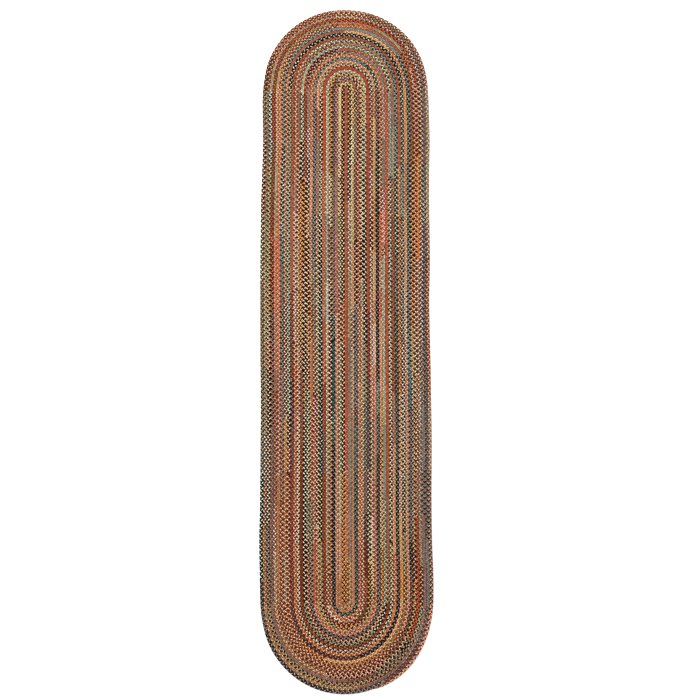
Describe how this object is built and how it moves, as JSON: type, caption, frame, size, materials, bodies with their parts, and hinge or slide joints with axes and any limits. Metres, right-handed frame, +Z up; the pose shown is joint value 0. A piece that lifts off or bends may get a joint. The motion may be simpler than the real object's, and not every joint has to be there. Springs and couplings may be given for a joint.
{
  "type": "braided rug",
  "caption": "Long oval runner rug made of one flat wool blend plait, coiled outwards from its centre row and laced edge to edge; it lies flat on the floor.",
  "frame": {"origin": "middle of the rug's underside, under the centre of its bounding box", "axes": "+Y along the rug's length towards its head, +X to the right seen from above with the head up, +Z up out of its upper side"},
  "size_m": [0.6078, 2.438, 0.008],
  "materials": {
    "wool_braid": "matte plaited wool blend yarn, rows of rust, gold, sage, blue-grey, plum and cream"
  },
  "bodies": {
    "root": {"braided_rug": "wool_braid"}
  },
  "joints": []
}
